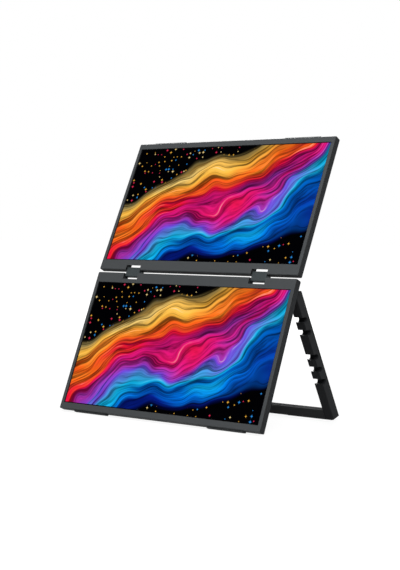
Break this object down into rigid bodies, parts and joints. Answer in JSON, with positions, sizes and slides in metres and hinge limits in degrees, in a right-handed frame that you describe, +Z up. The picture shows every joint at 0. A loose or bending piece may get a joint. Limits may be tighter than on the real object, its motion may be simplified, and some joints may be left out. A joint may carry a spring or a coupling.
{
  "type": "dual portable monitor",
  "caption": "Two slim landscape display panels joined edge to edge by double-axis hinge blocks, propped on a folding stand with slotted arms and a cross bar.",
  "frame": {"origin": "on the floor under the middle of the open object's box", "axes": "+Z up, the screens face -Y, +X to the viewer's right along the hinge axes"},
  "size_m": [0.3566, 0.2, 0.4011],
  "materials": {
    "bezel_grey": "fine satin metallic paint",
    "cover_grey": "fine satin metallic paint",
    "screen_glass": "smooth dark display glass",
    "backlight_white": "white diffuser stack in its tray",
    "board_green": "solder mask with dark chips",
    "ribbon_amber": "flexible printed ribbon",
    "socket_steel": "plated sheet",
    "switch_black": "moulded",
    "button_black": "moulded satin",
    "pad_rubber": "matt",
    "screw_steel": "blackened",
    "block_grey": "fine satin paint",
    "hinge_steel": "bare",
    "stand_black": "fine-grained moulded"
  },
  "bodies": {
    "lower_monitor": {"lower_front_bezel": "bezel_grey", "lower_rear_cover": "cover_grey", "lower_display_cell": "screen_glass", "lower_backlight_unit": "backlight_white", "lower_driver_board": "board_green", "lower_display_ribbon": "ribbon_amber", "lower_usb_c_ports": "socket_steel", "lower_mini_hdmi_port": "socket_steel", "lower_button_switches": "switch_black", "lower_edge_pads": "pad_rubber", "lower_cover_screws": "screw_steel", "lower_board_screws": "screw_steel", "lower_left_hinge_bracket": "hinge_steel", "lower_right_hinge_bracket": "hinge_steel", "lower_hinge_bracket_screws": "screw_steel", "left_stand_bracket": "stand_black", "right_stand_bracket": "stand_black", "left_stand_pin": "hinge_steel", "right_stand_pin": "hinge_steel", "stand_bracket_screws": "screw_steel"},
    "hinge_link": {"left_hinge_block": "block_grey", "left_lower_hinge_pin": "hinge_steel", "left_upper_hinge_pin": "hinge_steel", "right_hinge_block": "block_grey", "right_lower_hinge_pin": "hinge_steel", "right_upper_hinge_pin": "hinge_steel", "hinge_washers": "hinge_steel", "hinge_nuts": "hinge_steel"},
    "upper_monitor": {"upper_front_bezel": "bezel_grey", "upper_rear_cover": "cover_grey", "upper_display_cell": "screen_glass", "upper_backlight_unit": "backlight_white", "upper_driver_board": "board_green", "upper_display_ribbon": "ribbon_amber", "upper_usb_c_ports": "socket_steel", "upper_mini_hdmi_port": "socket_steel", "upper_button_switches": "switch_black", "upper_edge_pads": "pad_rubber", "upper_cover_screws": "screw_steel", "upper_board_screws": "screw_steel", "upper_left_hinge_bracket": "hinge_steel", "upper_right_hinge_bracket": "hinge_steel", "upper_hinge_bracket_screws": "screw_steel"},
    "kickstand": {"left_stand_arm": "stand_black", "right_stand_arm": "stand_black", "stand_cross_bar": "stand_black", "stand_arm_screws": "screw_steel", "stand_foot_pads": "pad_rubber"},
    "upper_power_button": {"upper_power_button": "button_black"},
    "upper_menu_button": {"upper_menu_button": "button_black"},
    "lower_power_button": {"lower_power_button": "button_black"},
    "lower_menu_button": {"lower_menu_button": "button_black"}
  },
  "joints": [
    {"name": "lower_fold", "type": "hinge", "parent": "lower_monitor", "child": "hinge_link", "pos_m": [0, -0.01315, 0.19796], "axis": [1, 0, 0], "range_deg": [-13.5, 91.5]},
    {"name": "upper_fold", "type": "hinge", "parent": "hinge_link", "child": "upper_monitor", "pos_m": [0, -0.00858, 0.20797], "axis": [1, 0, 0], "range_deg": [-13.5, 91.5]},
    {"name": "kickstand_fold", "type": "hinge", "parent": "lower_monitor", "child": "kickstand", "pos_m": [0, -0.00605, 0.17322], "axis": [1, 0, 0], "range_deg": [-53, 17]},
    {"name": "upper_power_press", "type": "slide", "parent": "upper_monitor", "child": "upper_power_button", "axis": [1, 0, 0], "range_m": [0, 0.0004], "stiffness_N_per_m": 2500},
    {"name": "upper_menu_press", "type": "slide", "parent": "upper_monitor", "child": "upper_menu_button", "axis": [1, 0, 0], "range_m": [0, 0.0004], "stiffness_N_per_m": 2500},
    {"name": "lower_power_press", "type": "slide", "parent": "lower_monitor", "child": "lower_power_button", "axis": [1, 0, 0], "range_m": [0, 0.0004], "stiffness_N_per_m": 2500},
    {"name": "lower_menu_press", "type": "slide", "parent": "lower_monitor", "child": "lower_menu_button", "axis": [1, 0, 0], "range_m": [0, 0.0004], "stiffness_N_per_m": 2500}
  ]
}
